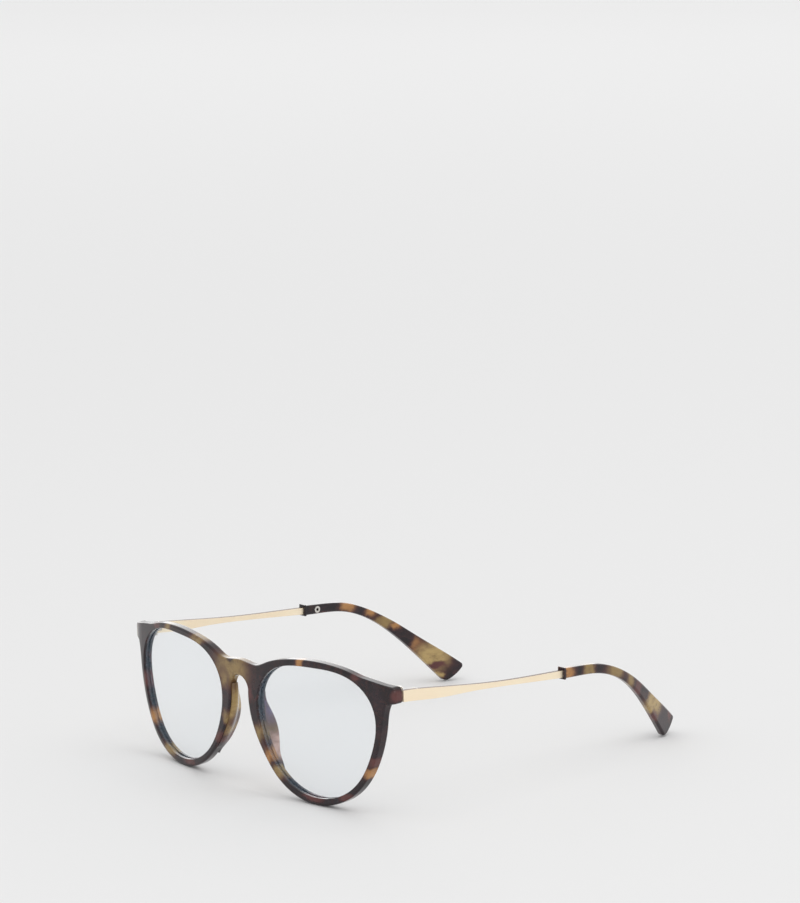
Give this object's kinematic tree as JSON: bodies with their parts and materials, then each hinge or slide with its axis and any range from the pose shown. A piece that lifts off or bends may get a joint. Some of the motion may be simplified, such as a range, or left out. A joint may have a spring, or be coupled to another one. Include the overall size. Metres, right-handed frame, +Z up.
{
  "type": "pair of glasses",
  "caption": "Round keyhole-bridge glasses with a mottled plastic front, faintly blue lenses, slim metal folding temples and drooping plastic tips.",
  "frame": {"origin": "middle of the open glasses' outline, on the surface the rims and the temple tips stand on", "axes": "+X towards the wearer's left, +Y from the front back to the temple tips, +Z up"},
  "size_m": [0.136, 0.1456, 0.0475],
  "materials": {
    "tortoise": "polished, mottled dark brown, amber and olive",
    "lens": "clear with a faint blue cast and a coated surface",
    "pad": "polished, slightly see-through tan",
    "hinge_metal": "satin",
    "screw_metal": "satin",
    "arm_metal": "satin pale rose gold plating",
    "tip_tortoise": "polished, mottled amber, olive and dark brown"
  },
  "bodies": {
    "front": {"front_frame": "tortoise", "lens_left": "lens", "lens_right": "lens", "nose_pad_left": "pad", "nose_pad_right": "pad", "hinge_front_left": "hinge_metal", "hinge_front_right": "hinge_metal", "hinge_screw_left": "screw_metal", "hinge_screw_right": "screw_metal"},
    "temple_left": {"hinge_temple_left": "hinge_metal", "temple_arm_left": "arm_metal", "temple_tip_left": "tip_tortoise", "tip_screw_left": "screw_metal"},
    "temple_right": {"hinge_temple_right": "hinge_metal", "temple_arm_right": "arm_metal", "temple_tip_right": "tip_tortoise", "tip_screw_right": "screw_metal"}
  },
  "joints": [
    {"name": "fold_left", "type": "hinge", "parent": "front", "child": "temple_left", "pos_m": [0.0636, -0.05851, 0.0398], "axis": [0, 0, 1], "range_deg": [0, 85]},
    {"name": "fold_right", "type": "hinge", "parent": "front", "child": "temple_right", "pos_m": [-0.0636, -0.05851, 0.0398], "axis": [0, 0, -1], "range_deg": [0, 78]}
  ]
}
